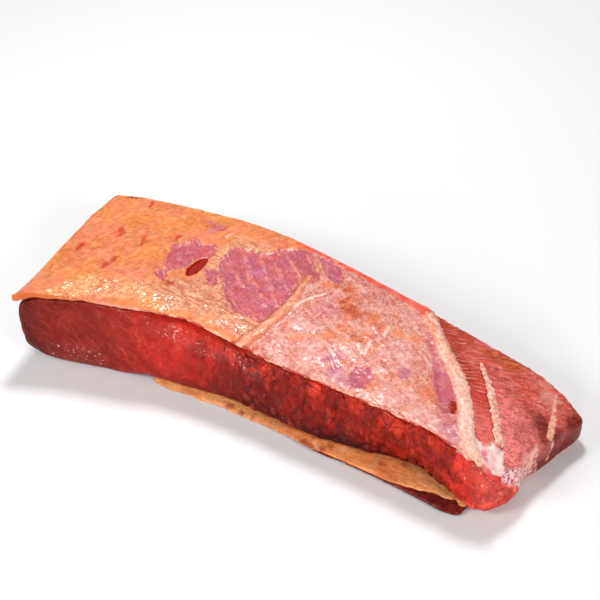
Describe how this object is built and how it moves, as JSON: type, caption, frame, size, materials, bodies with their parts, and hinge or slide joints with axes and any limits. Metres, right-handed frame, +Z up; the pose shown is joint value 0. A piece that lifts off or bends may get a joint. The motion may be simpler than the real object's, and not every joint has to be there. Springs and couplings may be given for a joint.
{
  "type": "raw beef soup meat",
  "caption": "Long raw block of beef brisket for soup, lying fat side up: lean cut across the grain, a fat cap thinning into silverskin, and a flap of lean and fat below.",
  "frame": {"origin": "on the surface that the meat lies on, under the middle of its length and width", "axes": "+X along the block towards its thin tip, +Y towards the back side, +Z up"},
  "size_m": [0.34, 0.1442, 0.0523],
  "materials": {
    "lean_meat": "moist raw lean beef, cobbled where it is cut across the grain, soft gloss",
    "cap_fat": "moist yellow-orange beef fat that thins into pink silverskin, small wet glints",
    "strand_fat": "cream fat, soft gloss",
    "sheet_fat": "tan beef fat with reddish stains, soft gloss",
    "flap_meat": "dark red lean beef, soft gloss"
  },
  "bodies": {
    "root": {"lean": "lean_meat", "fat_cap": "cap_fat", "fat_strand": "strand_fat", "fat_sheet": "sheet_fat", "flap_lean": "flap_meat"}
  },
  "joints": []
}
